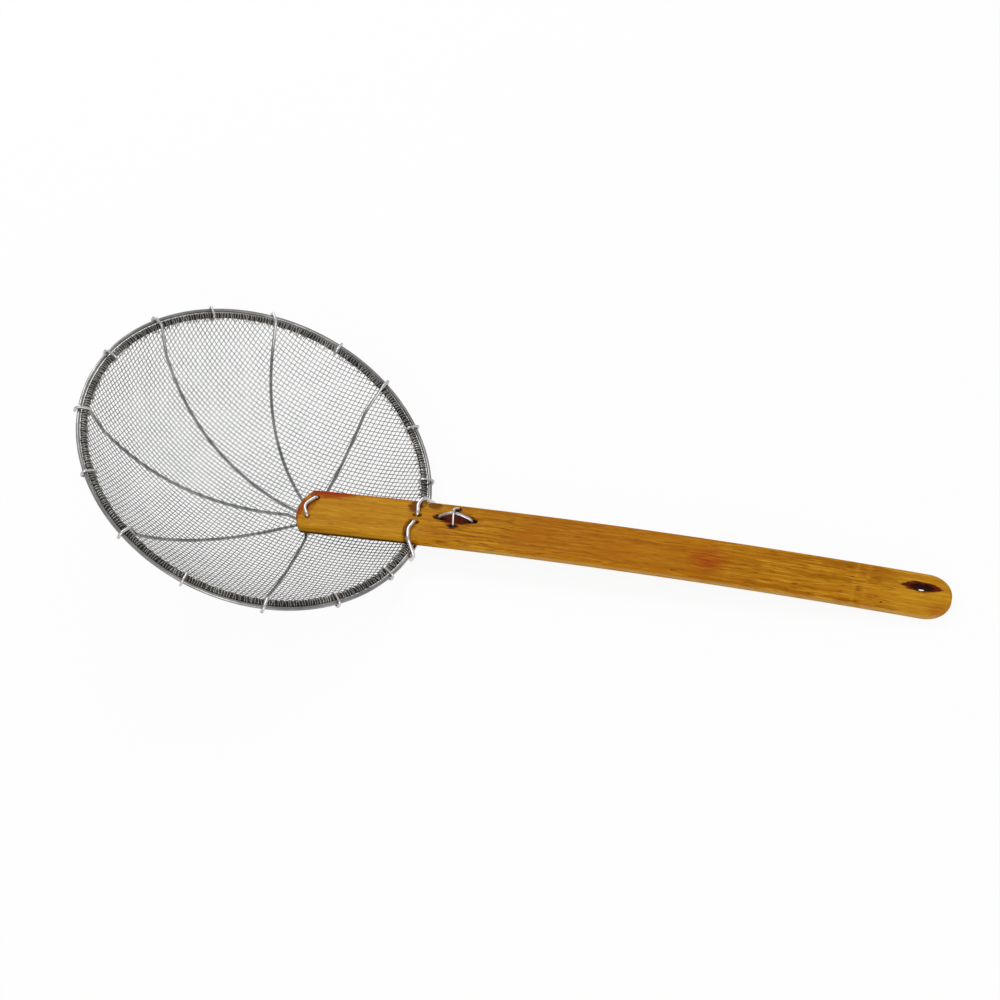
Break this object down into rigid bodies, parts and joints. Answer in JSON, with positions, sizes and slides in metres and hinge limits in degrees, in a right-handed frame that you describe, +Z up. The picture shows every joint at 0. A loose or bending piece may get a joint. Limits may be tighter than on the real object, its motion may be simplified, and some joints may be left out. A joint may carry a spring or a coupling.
{
  "type": "spider skimmer",
  "caption": "Long-handled skimmer: a shallow woven wire bowl in a double wire rim, held by hooked ribs and wire ties on a flat bamboo handle with a hanging hole.",
  "frame": {"origin": "Middle of the bounding box on the surface that the skimmer rests on.", "axes": "+X runs along the handle from the bowl to the hanging hole, +Z is up from the surface, and +Y is across the bowl to the left of the handle."},
  "size_m": [0.4138, 0.1794, 0.0899],
  "materials": {
    "bamboo": "varnished",
    "rim_wire": "satin",
    "mesh_wire": "satin",
    "rib_wire": "satin",
    "tie_wire": "bright"
  },
  "bodies": {
    "root": {"handle": "bamboo", "outer_ring": "rim_wire", "core_ring": "rim_wire", "mesh_bowl": "mesh_wire", "cross_rib": "rib_wire", "spine_rib": "rib_wire", "rib_left_rear": "rib_wire", "rib_right_rear": "rib_wire", "rib_left_middle": "rib_wire", "tip_staple": "tie_wire", "rim_tie_left": "tie_wire", "rim_tie_right": "tie_wire", "arch_binding": "tie_wire", "rim_clip_1": "tie_wire", "rim_clip_2": "tie_wire", "rim_clip_3": "tie_wire", "rim_clip_4": "tie_wire", "rim_clip_5": "tie_wire", "rim_clip_6": "tie_wire", "rim_clip_7": "tie_wire", "rim_clip_8": "tie_wire", "rim_clip_9": "tie_wire"}
  },
  "joints": []
}
